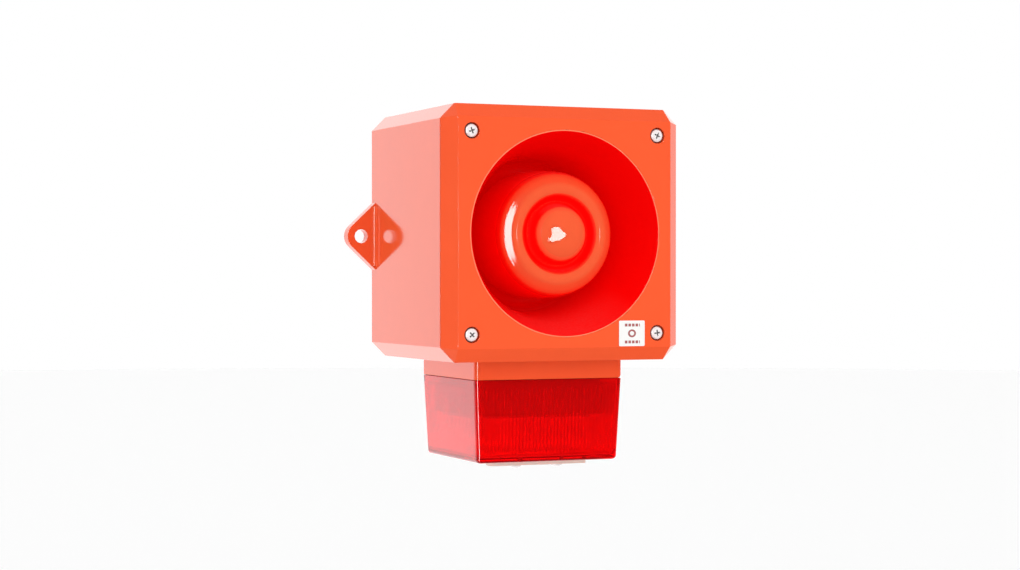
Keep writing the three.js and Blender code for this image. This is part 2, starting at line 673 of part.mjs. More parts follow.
function lensFootStrip() {
  const z = LENS.bottomZ - GAP;
  let body = plateZ(roundedBox(FOOT.halfX, FOOT.halfY, 3, 0, FOOT.midY), z - FOOT.thick, z);
  for (const side of [-1, 1]) {
    body = cut(body, rodZ(2.1, z - FOOT.thick - 1, z + 1, side * FOOT.screwX, FOOT.midY, 14));
  }
  return body;
}

function lensScrew(side) {
  const x = side * FOOT.screwX;
  const y = FOOT.midY;
  const under = LENS.bottomZ - 2 * GAP - FOOT.thick;
  const profile = [[0, -1.8], [2.6, -1.7], [3.7, -1.1], [3.95, 0], [1.6, 0], [1.6, 11], [0, 11.8]];
  const points = profile.map(([r, d]) => new THREE.Vector2(r, d));
  const pin = solid(new THREE.LatheGeometry(points, 16).rotateX(Math.PI / 2).translate(x, y, under));
  return cut(pin, block(x - 0.6, x + 0.6, y - 5, y + 5, under - 3, under - 0.8));
}

// ---- the two-core lead from the board to the strobe --------------------------------------------
function strobeLead() {
  const midY = BASE.midY;
  const route = [
    [0, -22.5, -62], [0, -26, -69], [0, -38, -73], [0, midY + 8, -74.5], [0, midY, -80], [0, midY, -88],
    [0, midY, -96], [0, midY, -106], [0, midY - 2, -113.8],
  ];
  const points = route.map(([x, y, z]) => new THREE.Vector3(x, y, z));
  const path = new THREE.CatmullRomCurve3(points, false, 'centripetal');
  const section = new THREE.Shape();
  section.absarc(0, 0, 2, 0, 2 * Math.PI);
  const settings = { steps: 24, bevelEnabled: false, extrudePath: path, curveSegments: 4 };
  return solid(new THREE.ExtrudeGeometry(section, settings));
}

// ---- build -------------------------------------------------------------------------------------
part('rear_housing', rearHousing(), redPlastic);
part('front_cover', frontCover(), redPlastic);
part('cover_gasket', coverGasket(), rubber);
CORNERS.forEach(([sx, sz], i) => {
  part(`cover_screw_${i + 1}`, coverScrew(sx, sz), steel);
  part(`board_screw_${i + 1}`, boardScrew(sx, sz), steel);
});
[-1, 1].forEach((side, i) => {
  part(`base_screw_${i + 1}`, baseScrew(side), steel);
  part(`lens_screw_${i + 1}`, lensScrew(side), steel);
});
part('label', ratingLabel(), labelWhite);
part('horn_flare', hornFlare(), hornPlastic);
part('horn_plug', hornPlug(), hornPlastic);
part('driver_case', driverCase(), blackPlastic);
part('driver_top_plate', driverTopPlate(), steel);
part('driver_magnet', driverMagnet(), ferrite);
part('driver_yoke', driverYoke(), steel);
part('driver_plug', driverPlug(), palePlastic);
part('voice_coil', voiceCoil(), copper);
part('diaphragm', diaphragm(), greyPlastic);
part('main_board', mainBoard(), boardGreen);
part('driver_socket', boardSocket(), palePlastic);
part('terminal_block', terminalBlock(), terminalGreen);
for (let i = 0; i < TERMINAL.count; i += 1) {
  part(`terminal_screw_${i + 1}`, terminalScrew(i), steel);
}
part('tone_switch_body', toneSwitchBody(), sleeveBlue);
for (let i = 0; i < SWITCHES.count; i += 1) {
  part(`tone_slider_${i + 1}`, toneSlider(i), labelWhite);
}
part('volume_control', volumeBody(), sleeveBlue);
part('volume_rotor', volumeRotor(), brass);
part('output_transformer', outputTransformer(), ferrite);
part('board_capacitor_1', standingCapacitor(8, 26, -42, 52), blackPlastic);
part('board_capacitor_2', standingCapacitor(6, 20, -24, 56), blackPlastic);
part('gland_body', glandBody(), blackPlastic);
part('gland_nut', glandNut(), blackPlastic);
part('gland_seal', glandSeal(), rubber);
part('gland_locknut', glandLocknut(), blackPlastic);
part('stopping_plug', stoppingPlug(), blackPlastic);
part('strobe_base', strobeBase(), redPlastic);
part('base_gasket', ringZ(1.1, 2.4, BASE.topZ - 1.2, BASE.topZ + 0.2), rubber);
part('lens_gasket', ringZ(1.3, 2.6, BASE.bottomZ - 0.3, BASE.bottomZ + 0.9), rubber);
part('strobe_tray', strobeTray(), palePlastic);
part('strobe_board', strobeBoard(), boardGreen);
part('strobe_capacitor', strobeCapacitor(), blackPlastic);
part('trigger_coil', triggerCoil(), copper);
part('reflector', reflector(), labelWhite);
part('flash_tube', flashTube(), glass);
part('lens', strobeLens(), redLens);
part('lens_foot_strip', lensFootStrip(), palePlastic);
part('strobe_lead', strobeLead(), blackPlastic);

export default hornStrobe;
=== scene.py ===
# %% [markdown]
# # A wall-mounted fire-alarm horn strobe
#
# The object is a square red sounder with a round re-entrant horn in its front, and a red flashing
# beacon hanging under it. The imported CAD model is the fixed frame: it says where everything is,
# and this lesson gives each piece its fine shape and its finish around that frame.

# %% Load the frame
import json
import math

import bmesh
import bpy
from mathutils import Matrix, Vector


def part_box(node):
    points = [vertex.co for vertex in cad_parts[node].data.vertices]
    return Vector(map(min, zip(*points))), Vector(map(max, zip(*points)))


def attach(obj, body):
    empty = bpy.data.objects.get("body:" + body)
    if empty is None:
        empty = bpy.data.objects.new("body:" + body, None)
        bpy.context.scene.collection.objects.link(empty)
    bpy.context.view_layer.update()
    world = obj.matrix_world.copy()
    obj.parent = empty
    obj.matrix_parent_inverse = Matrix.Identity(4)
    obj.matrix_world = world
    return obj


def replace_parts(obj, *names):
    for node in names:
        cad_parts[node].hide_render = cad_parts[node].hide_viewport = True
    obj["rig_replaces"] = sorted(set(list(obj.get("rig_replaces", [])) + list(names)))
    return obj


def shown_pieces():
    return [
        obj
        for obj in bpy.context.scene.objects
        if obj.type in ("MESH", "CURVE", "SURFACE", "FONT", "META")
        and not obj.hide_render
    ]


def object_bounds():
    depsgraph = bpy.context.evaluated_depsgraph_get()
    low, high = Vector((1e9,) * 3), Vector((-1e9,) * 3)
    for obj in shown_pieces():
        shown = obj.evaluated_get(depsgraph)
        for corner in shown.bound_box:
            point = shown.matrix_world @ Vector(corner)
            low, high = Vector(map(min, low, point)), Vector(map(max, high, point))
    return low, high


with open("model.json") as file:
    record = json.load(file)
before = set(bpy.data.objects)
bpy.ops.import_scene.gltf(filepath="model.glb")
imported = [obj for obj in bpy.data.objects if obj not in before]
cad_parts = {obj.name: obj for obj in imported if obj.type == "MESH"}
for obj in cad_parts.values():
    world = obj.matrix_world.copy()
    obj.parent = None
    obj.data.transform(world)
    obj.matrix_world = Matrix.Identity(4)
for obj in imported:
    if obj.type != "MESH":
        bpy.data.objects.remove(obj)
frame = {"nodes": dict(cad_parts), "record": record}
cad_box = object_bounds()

MM = 0.001
body_of_node = {node: body
                for body, members in frame["record"]["behaviour"]["bodies"].items()
                for node in members}
slot_of_node = {part["node"]: part["material_slot"] for part in frame["record"]["subparts"]}
print("cad box in mm:", [[round(v / MM, 1) for v in corner] for corner in cad_box])

# %% [markdown]
# ## Two small helpers
#
# Geometry and shader trees are both built by adding nodes and joining their sockets. One helper
# adds a node, sets its options and fills its inputs, each with a plain value or with another
# node's output.

# %% A helper that adds a wired node
def put(tree, kind, inputs=None, **settings):
    node = tree.nodes.new(kind)
    for name, value in settings.items():
        setattr(node, name, value)
    for name, value in (inputs or {}).items():
        socket = node.inputs[name]
        if isinstance(value, bpy.types.NodeSocket):
            tree.links.new(value, socket)
        else:
            socket.default_value = value
    return node


def calc(tree, operation, *values):
    return put(tree, "ShaderNodeMath", dict(enumerate(values)), operation=operation).outputs[0]


print("node helpers ready")

# %% [markdown]
# ## Effects that several finishes share
#
# Moulded plastic is never one even colour: it has a very fine grain from the tool, slow cloudy
# changes of shade, edges that are a touch paler where they are handled, and a little dust on what
# looks up. Each effect is a node group, so every material can use it with its own amounts.

# %% Shared effect: the grain and clouding of a moulded surface
def effect_group(name, inputs, outputs):
    group = bpy.data.node_groups.new(name, "ShaderNodeTree")
    for socket, kind, value in inputs:
        made = group.interface.new_socket(socket, in_out="INPUT", socket_type=kind)
        if value is not None:
            made.default_value = value
    for socket, kind in outputs:
        group.interface.new_socket(socket, in_out="OUTPUT", socket_type=kind)
    return group, group.nodes.new("NodeGroupInput"), group.nodes.new("NodeGroupOutput")


grain_group, grain_in, grain_out = effect_group(
    "surface_grain",
    [("Grain size", "NodeSocketFloat", 2500.0), ("Cloud size", "NodeSocketFloat", 30.0)],
    [("Grain", "NodeSocketFloat"), ("Cloud", "NodeSocketFloat")])
grain_where = put(grain_group, "ShaderNodeTexCoord").outputs["Object"]
fine = put(grain_group, "ShaderNodeTexNoise", {
    "Vector": grain_where, "Scale": grain_in.outputs["Grain size"], "Detail": 3.0})
slow = put(grain_group, "ShaderNodeTexNoise", {
    "Vector": grain_where, "Scale": grain_in.outputs["Cloud size"], "Detail": 4.0})
grain_group.links.new(fine.outputs["Fac"], grain_out.inputs["Grain"])
grain_group.links.new(slow.outputs["Fac"], grain_out.inputs["Cloud"])
print("effect:", grain_group.name)

# %% Shared effect: pale worn edges
edge_group, edge_in, edge_out = effect_group(
    "edge_wear",
    [("Width", "NodeSocketFloat", 0.06), ("Patchiness", "NodeSocketFloat", 90.0)],
    [("Mask", "NodeSocketFloat")])
sharpness = put(edge_group, "ShaderNodeNewGeometry").outputs["Pointiness"]
raised = calc(edge_group, "SUBTRACT", sharpness, 0.5)
shown = calc(edge_group, "DIVIDE", raised, edge_in.outputs["Width"])
patches = put(edge_group, "ShaderNodeTexNoise", {
    "Vector": put(edge_group, "ShaderNodeTexCoord").outputs["Object"],
    "Scale": edge_in.outputs["Patchiness"], "Detail": 5.0}).outputs["Fac"]
broken = calc(edge_group, "MULTIPLY", shown, patches)
held = put(edge_group, "ShaderNodeClamp", {"Value": broken}).outputs[0]
edge_group.links.new(held, edge_out.inputs["Mask"])
print("effect:", edge_group.name)

# %% Shared effect: dust that settles on faces that look up
dust_group, dust_in, dust_out = effect_group(
    "settled_dust",
    [("Amount", "NodeSocketFloat", 0.2), ("Speck size", "NodeSocketFloat", 600.0)],
    [("Mask", "NodeSocketFloat")])
upward = put(dust_group, "ShaderNodeSeparateXYZ", {
    "Vector": put(dust_group, "ShaderNodeNewGeometry").outputs["Normal"]}).outputs["Z"]
lying = put(dust_group, "ShaderNodeMapRange", {
    "Value": upward, "From Min": 0.6, "From Max": 1.0}).outputs["Result"]
specks = put(dust_group, "ShaderNodeTexNoise", {
    "Vector": put(dust_group, "ShaderNodeTexCoord").outputs["Object"],
    "Scale": dust_in.outputs["Speck size"], "Detail": 6.0}).outputs["Fac"]
dusty = calc(dust_group, "MULTIPLY", calc(dust_group, "MULTIPLY", lying, specks),
             dust_in.outputs["Amount"])
dust_group.links.new(dusty, dust_out.inputs["Mask"])
print("effect:", dust_group.name)

# %% Shared effect: painted shade, by how deep a point lies in a recess
# An occlusion mask: finishes mix a deeper, darker colour into the recesses it finds, which is
# painted shade, and in the horn a faint red emission, which is painted light.
hollow_shade_group, hollow_shade_in, hollow_shade_out = effect_group(
    "hollow_shade_and_glow",
    [("Reach", "NodeSocketFloat", 0.04), ("Deep at", "NodeSocketFloat", 0.55),
     ("Open at", "NodeSocketFloat", 0.9)],
    [("Mask", "NodeSocketFloat")])
openness = put(hollow_shade_group, "ShaderNodeAmbientOcclusion", {
    "Distance": hollow_shade_in.outputs["Reach"]}, samples=8).outputs["AO"]
sunk = put(hollow_shade_group, "ShaderNodeMapRange", {
    "Value": openness, "From Min": hollow_shade_in.outputs["Deep at"],
    "From Max": hollow_shade_in.outputs["Open at"], "To Min": 1.0, "To Max": 0.0},
    interpolation_type="SMOOTHSTEP").outputs["Result"]
hollow_shade_group.links.new(sunk, hollow_shade_out.inputs["Mask"])
print("effect:", hollow_shade_group.name)

# %% [markdown]
# ## Finishes
#
# One recipe makes most of them: a Principled shader whose colour is clouded a little, paler on
# worn edges and dusty on top, with a fine grain in its bump. Recesses get painted shade: an
# occlusion mask mixes in a deeper red or darker colour there, and inside the horn the same mask
# adds a faint red emission, which is painted light. What differs between glossy red mouldings,
# rubber and metal is only the numbers, so the finishes are a table.

# %% The recipe for an opaque finish
DUST_COLOUR = (0.62, 0.6, 0.57, 1.0)
NO_PAINTED_GLOW = (0.0, 0.0, 0.0, 1.0)
WORN_PALER = 1.25


def shade(colour, factor=1.0):
    return [min(1.0, c * factor) for c in colour] + [1.0]


def mix_colour(tree, factor, first, second):
    return put(tree, "ShaderNodeMix", {"Factor": factor, "A": first, "B": second},
               data_type="RGBA").outputs["Result"]


def group_node(tree, group, values):
    node = tree.nodes.new("ShaderNodeGroup")
    node.node_tree = group
    for name, value in values.items():
        node.inputs[name].default_value = value
    return node


def empty_material(name):
    material = bpy.data.materials.new(name)
    material.use_nodes = True
    material.node_tree.nodes.clear()
    return material, material.node_tree


def finish_output(tree, shader):
    end = tree.nodes.new("ShaderNodeOutputMaterial")
    tree.links.new(shader.outputs[0], end.inputs["Surface"])


def opaque_finish(name, colour, roughness, metal=0.0, cloud=0.04, cloud_size=30.0, grain=0.02,
                  grain_size=2500.0, wear=0.12, dust=0.06, refraction=1.5, hollow_shade=None,
                  painted_glow=0.0):
    material, tree = empty_material(name)
    surface = group_node(tree, grain_group, {"Grain size": grain_size, "Cloud size": cloud_size})
    clouded = mix_colour(tree, surface.outputs["Cloud"], shade(colour, 1 - cloud),
                         shade(colour, 1 + cloud))
    edges = group_node(tree, edge_group, {})
    worn_share = calc(tree, "MULTIPLY", edges.outputs["Mask"], wear)
    edged = mix_colour(tree, worn_share, clouded, shade(colour, WORN_PALER))
    # Painted shade: where the occlusion mask finds a recess, the colour is mixed towards a deeper,
    # darker one.
    if hollow_shade:
        shade_and_glow_share = group_node(tree, hollow_shade_group, hollow_shade["limits"]).outputs["Mask"]
        edged = mix_colour(tree, shade_and_glow_share, edged, shade(hollow_shade["colour"]))
    settled = group_node(tree, dust_group, {"Amount": dust})
    dusted = mix_colour(tree, settled.outputs["Mask"], edged, DUST_COLOUR)
    uneven = calc(tree, "MULTIPLY_ADD", surface.outputs["Cloud"],
                  0.25 * roughness, 0.875 * roughness)
    rough = calc(tree, "MULTIPLY_ADD", settled.outputs["Mask"], 0.5, uneven)
    bump = put(tree, "ShaderNodeBump", {
        "Height": surface.outputs["Grain"], "Strength": grain, "Distance": 0.05 * MM})
    shader = put(tree, "ShaderNodeBsdfPrincipled", {
        "Base Color": dusted, "Roughness": rough, "Metallic": metal,
        "Normal": bump.outputs["Normal"], "IOR": refraction})
    # Painted light: a faint red emission on the same recess mask, so the recesses seem to give off
    # light.
    if painted_glow:
        painted_glow_colour = mix_colour(tree, shade_and_glow_share, NO_PAINTED_GLOW, (painted_glow, 0.0, 0.0, 1.0))
        tree.links.new(painted_glow_colour, shader.inputs["Emission Color"])
        shader.inputs["Emission Strength"].default_value = 1.0
    finish_output(tree, shader)
    return material


print("opaque recipe ready")

# %% The table of opaque finishes
def hollow_shade_of(colour, reach, deep_at, open_at):
    return {"colour": colour,
            "limits": {"Reach": reach, "Deep at": deep_at, "Open at": open_at}}


# Painted shade: each entry is the colour that the occlusion mask mixes into recesses, a deeper red
# in the case, horn centre and bell, and dark grey in the screws' recesses.
deep_hollow_shade = hollow_shade_of((0.97, 0.002, 0.001), 0.04, 0.72, 0.92)
slight_hollow_shade = hollow_shade_of((0.95, 0.09, 0.025), 0.03, 0.0, 0.3)
ring_hollow_shade = hollow_shade_of((0.97, 0.004, 0.001), 0.04, 0.44, 0.8)
horn_depth_shade = hollow_shade_of((0.97, 0.001, 0.001), 0.08, 0.1, 0.7)
screw_slot_shade = hollow_shade_of((0.13, 0.11, 0.11), 0.002, 0.2, 0.6)
FILM_WHITE = (0.88, 0.87, 0.85)
finishes = {
    "case_red": opaque_finish("glossy_signal_red", (0.93, 0.105, 0.030), 0.09, grain=0.015,
                              refraction=1.55, hollow_shade=slight_hollow_shade),
    "horn_red": opaque_finish("deep_horn_red", (0.87, 0.108, 0.036), 0.08, grain=0.01,
                              refraction=1.55, hollow_shade=ring_hollow_shade),
    "steel": opaque_finish("bright_zinc_steel", (0.97, 0.885, 0.88), 0.26, metal=0.1, cloud=0.08,
                           cloud_size=220.0, grain=0.12, wear=0.3, hollow_shade=screw_slot_shade),
    "brass": opaque_finish("turned_brass", (0.70, 0.47, 0.16), 0.28, metal=1.0, cloud=0.1,
                           cloud_size=220.0, grain=0.1, wear=0.3),
    "rubber": opaque_finish("black_rubber", (0.022, 0.022, 0.024), 0.78, grain=0.4, cloud=0.2,
                            grain_size=1200.0),
    "black_plastic": opaque_finish("black_nylon", (0.028, 0.028, 0.031), 0.42, grain=0.3,
                                   grain_size=1500.0, cloud=0.15),
    "grey_film": opaque_finish("grey_diaphragm_film", (0.34, 0.35, 0.36), 0.4, grain=0.1),
    "pale_plastic": opaque_finish("cream_plastic", (0.92, 0.78, 0.68), 0.4, grain=0.1),
    "board_green": opaque_finish("board_green_mask", (0.015, 0.17, 0.06), 0.3, grain=0.1, cloud=0.2,
                                 cloud_size=160.0),
    "terminal_green": opaque_finish("terminal_green", (0.05, 0.36, 0.13), 0.38, grain=0.1),
    "copper": opaque_finish("enamelled_copper", (0.62, 0.22, 0.08), 0.3, metal=1.0, cloud=0.1,
                            cloud_size=400.0, grain=0.2),
    "ferrite": opaque_finish("dark_ferrite", (0.055, 0.053, 0.053), 0.62, grain=0.5,
                             grain_size=1800.0, cloud=0.2),
    "label_white": opaque_finish("white_film", FILM_WHITE, 0.35, grain=0.05, wear=0.0),
    "switch_blue": opaque_finish("switch_blue", (0.035, 0.10, 0.34), 0.36, grain=0.1),
}
# The bell's colour is painted shade: a darker, deeper red than the horn red, with more painted
# shade in its recesses and a faint red emission, painted light.
bell_shaded_finish = opaque_finish("flare_red_painted_shade", (0.90, 0.001, 0.001), 0.12, grain=0.01, cloud=0.03,
                            refraction=1.12, hollow_shade=horn_depth_shade, painted_glow=0.08)
# A duller copy of the horn red for the horn centre's deep faces, with painted shade and a faint red
# emission, painted light, in its recesses.
sunk_shade_finish = opaque_finish("sunken_horn_red_painted_shade", (0.90, 0.10, 0.036), 0.4, grain=0.02,
                            refraction=1.08, hollow_shade=deep_hollow_shade, painted_glow=0.06)
# Painted highlight: the bell's lip is a paler red, standing for the light its edge catches.
lip_highlight_finish = opaque_finish("lip_red_painted_highlight", (0.96, 0.25, 0.13), 0.15, grain=0.01)
tray_finish = opaque_finish("tray_plastic", (0.50, 0.47, 0.45), 0.45, grain=0.1)
print("opaque finishes in the table:", len(finishes))

# %% [markdown]
# ## A printed film
#
# The small white film beside the horn carries a print in dark red. Its print is ink without any
# height, so it is drawn in the finish: rows of short bars and a ring, each a yes-or-no sum of
# where a point lies on the film.

# %% The film's finish
INK_RED = (0.35, 0.02, 0.02, 1.0)
BARS_PER_HALF, BAR_SHARE, BAR_REACH = 3.6, 0.72, 0.62
RING_INSIDE, RING_OUTSIDE = 0.17, 0.31


def principled_of(material):
    return next(n for n in material.node_tree.nodes if n.type == "BSDF_PRINCIPLED")


def within(tree, value, low, high):
    return calc(tree, "MULTIPLY", calc(tree, "GREATER_THAN", value, low),
                calc(tree, "LESS_THAN", value, high))


def printed_film(name, node):
    low, high = (Vector(corner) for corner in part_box(node))
    middle, half = (low + high) / 2, (high - low) / 2
    material = opaque_finish(name, FILM_WHITE, 0.35, grain=0.05, wear=0.0, dust=0.0)
    tree = material.node_tree
    shader = principled_of(material)
    film_colour = shader.inputs["Base Color"].links[0].from_socket
    place_on = put(tree, "ShaderNodeSeparateXYZ", {
        "Vector": put(tree, "ShaderNodeTexCoord").outputs["Object"]}).outputs
    across = calc(tree, "DIVIDE", calc(tree, "SUBTRACT", place_on["X"], middle.x), half.x)
    up = calc(tree, "DIVIDE", calc(tree, "SUBTRACT", place_on["Z"], middle.z), half.z)
    step = calc(tree, "FRACT", calc(tree, "MULTIPLY", across, BARS_PER_HALF))
    bars = calc(tree, "LESS_THAN", step, BAR_SHARE)
    rows = calc(tree, "ADD", within(tree, up, 0.54, 0.76), within(tree, up, -0.78, -0.56))
    lines = calc(tree, "MULTIPLY", calc(tree, "MULTIPLY", bars, rows),
                 within(tree, across, -BAR_REACH, BAR_REACH))
    from_middle = calc(tree, "POWER", calc(tree, "ADD", calc(tree, "MULTIPLY", across, across),
                                           calc(tree, "MULTIPLY", up, up)), 0.5)
    ring = within(tree, from_middle, RING_INSIDE, RING_OUTSIDE)
    inked = calc(tree, "MINIMUM", calc(tree, "ADD", lines, ring), 0.9)
    printed = mix_colour(tree, inked, film_colour, INK_RED)
    tree.links.new(printed, shader.inputs["Base Color"])
    return material


film_finish = printed_film("printed_film", "label")
print("finish:", film_finish.name)

# %% [markdown]
# ## Clear finishes
#
# The lens is tinted polycarbonate and the flash tube is glass. Both keep a plain transmission, so
# light really goes through them, and a slow change of tint and roughness is all their texture.

# %% Tinted lens and flash-tube glass
def clear_finish(name, colour, roughness, refraction, cloud, clear=1.0):
    material, tree = empty_material(name)
    surface = group_node(tree, grain_group, {"Grain size": 900.0, "Cloud size": 40.0})
    tint = mix_colour(tree, surface.outputs["Cloud"], shade(colour, 1 - cloud),
                      shade(colour, 1 + cloud))
    uneven = calc(tree, "MULTIPLY_ADD", surface.outputs["Cloud"], 0.4 * roughness, 0.8 * roughness)
    bump = put(tree, "ShaderNodeBump", {
        "Height": surface.outputs["Cloud"], "Strength": 0.05, "Distance": 0.1 * MM})
    shader = put(tree, "ShaderNodeBsdfPrincipled", {
        "Base Color": tint, "Roughness": uneven, "Normal": bump.outputs["Normal"],
        "Transmission Weight": clear, "IOR": refraction})
    finish_output(tree, shader)
    return material


finishes["lens_red"] = clear_finish("red_polycarbonate", (1.0, 0.0005, 0.002), 0.03, 1.58, 0.03,
                                    clear=0.8)
finishes["tube_glass"] = clear_finish("flash_tube_glass", (0.97, 0.98, 0.98), 0.02, 1.47, 0.01)
print("clear finishes: lens_red, tube_glass")

# %% [markdown]
# ## Placing a piece
#
# Each finished piece is one mesh whose object sits at the origin. It takes the finish of its
# slot, rides on its body, and stands for the CAD nodes that it replaces. Normals are smooth over
# rounded edges and kept flat on the large faces.

# %% Helpers that finish and place a piece
def plain_mesh(thing, name):
    graph = bpy.context.evaluated_depsgraph_get()
    mesh = bpy.data.meshes.new_from_object(thing.evaluated_get(graph))
    mesh.name = name
    return mesh


def temporary(mesh):
    thing = bpy.data.objects.new("in_work", mesh)
    bpy.context.scene.collection.objects.link(thing)
    return thing


def soften(mesh, sharp_over=38):
    mesh.polygons.foreach_set("use_smooth", [True] * len(mesh.polygons))
    mesh.set_sharp_from_angle(angle=math.radians(sharp_over))
    thing = temporary(mesh)
    weigh = thing.modifiers.new("flat_faces_first", "WEIGHTED_NORMAL")
    weigh.keep_sharp = True
    weighed = plain_mesh(thing, mesh.name)
    bpy.data.objects.remove(thing)
    return weighed


def place(name, mesh, body, slot, stands_for=(), finish=None):
    piece = bpy.data.objects.new(name, mesh)
    mesh.name = name
    bpy.context.scene.collection.objects.link(piece)
    mesh.materials.clear()
    mesh.materials.append(finish or finishes[slot])
    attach(piece, body)
    if stands_for:
        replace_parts(piece, *stands_for)
    return piece


print("placing helpers ready")

# %% [markdown]
# ## Mouldings that keep the CAD shape
#
# The case, the cover and most inner parts already have the right shape, but CAD edges are
# perfectly sharp and real mouldings never are. A merged copy of the node gets a narrow bevel, so
# that every edge catches a thin line of light as plastic and pressed metal do.

# %% Round the edges of a copy of a CAD node
MERGE_WITHIN = 0.004 * MM
FLAT_UNDER = math.radians(0.6)
SPLINTER = 0.03 * MM
nodes = frame["nodes"]


def rounded_copy(node, radius, steps=2, edge_angle=33):
    copy = bmesh.new()
    copy.from_mesh(nodes[node].data)
    bmesh.ops.remove_doubles(copy, verts=copy.verts, dist=MERGE_WITHIN)
    bmesh.ops.dissolve_limit(copy, angle_limit=FLAT_UNDER, verts=copy.verts, edges=copy.edges)
    bmesh.ops.dissolve_degenerate(copy, dist=SPLINTER, edges=copy.edges)
    mesh = bpy.data.meshes.new(node + "_work")
    copy.to_mesh(mesh)
    copy.free()
    thing = temporary(mesh)
    bevel = thing.modifiers.new("rounded_edges", "BEVEL")
    bevel.width = radius * MM
    bevel.segments = steps
    bevel.limit_method = "ANGLE"
    bevel.angle_limit = math.radians(edge_angle)
    bevel.miter_outer = "MITER_ARC"
    bevel.use_clamp_overlap = False
    rounded = plain_mesh(thing, node + "_rounded")
    bpy.data.objects.remove(thing)
    return soften(rounded, edge_angle)


case_shell = place("case_shell", rounded_copy("rear_housing", 0.2, 3), "housing", "case_red",
                   ["rear_housing"])
cover_shell = place("cover_shell", rounded_copy("front_cover", 0.18, 3), "cover", "case_red",
                    ["front_cover"])
strobe_neck = place("strobe_neck", rounded_copy("strobe_base", 0.3, 3), "housing", "case_red",
                    ["strobe_base"])
for shell in (case_shell, cover_shell, strobe_neck):
    print(shell.name, "has", len(shell.data.polygons), "faces")

# %% [markdown]
# ## The horn
#
# The horn is re-entrant: the driver sounds into a tube at the back, the sound turns round inside
# the domed centre and leaves between the centre and the bell. Both pieces are turned shapes, so
# each is an outline of radius and depth, smoothed by a curve through its points and swung once
# round the axis. Faces that lie deep in the horn take a second, duller finish with painted shade
# and a faint red emission, painted light, and the bell's lip a paler one, a painted highlight.

# %% Turn a smooth outline about the horn's axis
SCREWS_STAND_PROUD = 0.35
face_y = cad_box[0][1] / MM + SCREWS_STAND_PROUD


def curve_through(points, per_span):
    """A Catmull-Rom curve through the points, as per_span points on each span."""
    smooth = []
    for i in range(len(points) - 1):
        before = points[max(i - 1, 0)]
        here, there = points[i], points[i + 1]
        after = points[min(i + 2, len(points) - 1)]
        for step in range(per_span):
            t = step / per_span
            smooth.append(tuple(
                0.5 * (2 * b + (c - a) * t + (2 * a - 5 * b + 4 * c - d) * t ** 2
                       + (3 * b - a - 3 * c + d) * t ** 3)
                for a, b, c, d in zip(before, here, there, after)))
    return smooth + [points[-1]]


def turned(name, outline, steps=160):
    """A closed body swung round the horn's axis from its outline of radius and depth."""
    work = bmesh.new()
    rings = []
    for radius, depth in outline:
        y = (face_y + depth) * MM
        if radius < 0.001:
            rings.append([work.verts.new((0, y, 0))])
            continue
        rings.append([work.verts.new((radius * MM * math.cos(2 * math.pi * k / steps), y,
                                      radius * MM * math.sin(2 * math.pi * k / steps)))
                      for k in range(steps)])
    on_axis = len(rings[0]) == 1 and len(rings[-1]) == 1
    pairs = list(zip(rings, rings[1:])) + ([] if on_axis else [(rings[-1], rings[0])])
    for one, other in pairs:
        for k in range(steps):
            after = (k + 1) % steps
            corners = [one[k % len(one)], one[after % len(one)],
                       other[after % len(other)], other[k % len(other)]]
            work.faces.new(list(dict.fromkeys(corners)))
    bmesh.ops.recalc_face_normals(work, faces=work.faces)
    mesh = bpy.data.meshes.new(name)
    work.to_mesh(mesh)
    work.free()
    return mesh


def second_finish(piece, finish, where):
    """Gives finish to the faces whose radius and depth pass the rule where."""
    piece.data.materials.append(finish)
    for face in piece.data.polygons:
        radius = math.hypot(face.center.x, face.center.z) / MM
        depth = face.center.y / MM - face_y
        face.material_index = int(where(radius, depth))


bell_lip = [(66.55, 0.5), (66.4, 0.25), (66.1, 0.12), (65.75, 0.12), (65.4, 0.35)]
bell_inside = curve_through([
    (65.1, 0.9), (61.3, 10), (57.6, 21), (55.2, 31), (53.0, 44), (51.4, 58), (50.6, 70)], 6)
bell_floor = [(50.3, 72.2), (49.2, 74.2), (47.2, 75.5), (44.6, 76), (20, 76), (18.2, 75.4)]
throat_tube = [(17.6, 73), (16.4, 37), (15.9, 35.8), (14.6, 35.4), (13.3, 35.8), (12.8, 37)]
bell_back = [(9.5, 79.3), (50, 79.3), (52, 78.4), (52.9, 76.4)]
bell_outside = [(r + 2.4, d + 0.6) for r, d in reversed(bell_inside[6:])]
bell_flange = [(66, 6.5), (69.2, 6.5), (69.2, 4.1), (66.55, 4.1)]
bell_outline = (bell_lip + bell_inside + bell_floor + throat_tube + bell_back + bell_outside
                + bell_flange)
horn_bell = place("horn_bell", soften(turned("horn_bell", bell_outline)), "cover", "horn_red",
                  ["horn_flare"], bell_shaded_finish)
# The lip faces take the painted highlight.
second_finish(horn_bell, lip_highlight_finish, lambda radius, depth: 65.9 < radius < 66.6 and depth < 0.6)
print(horn_bell.name, "has", len(horn_bell.data.polygons), "faces")

# %% The domed centre, with its three legs
dome = [(0, 2.95), (2, 3.0), (5, 3.2), (8, 3.65), (10.5, 4.25), (13, 5.2), (15, 6.4), (16.8, 8.2)]
groove = [(17.7, 9.9), (18.3, 12.2), (19.4, 14.6), (21.2, 15.7), (23, 14.5), (24.6, 12.4)]
ring_top = [(26.3, 11.0), (28.2, 10.4), (30.2, 10.35), (31.6, 10.65), (33, 11.45), (34.2, 12.4),
            (35.4, 13.4), (36.6, 14.4), (37.8, 15.5), (38.9, 16.65)]
outer_wall = [(39.8, 18.3), (40.5, 21), (41.0, 25), (41.4, 33), (41.8, 45), (42, 60)]
centre_front = curve_through(dome + groove + ring_top + outer_wall, 4)
centre_inside = [(41.8, 61.2), (40.9, 61.6), (39.9, 61.2), (39.6, 60.4), (37.9, 33), (35.2, 25.4),
                 (31, 21.6), (12, 21.4), (6, 23), (0, 25)]


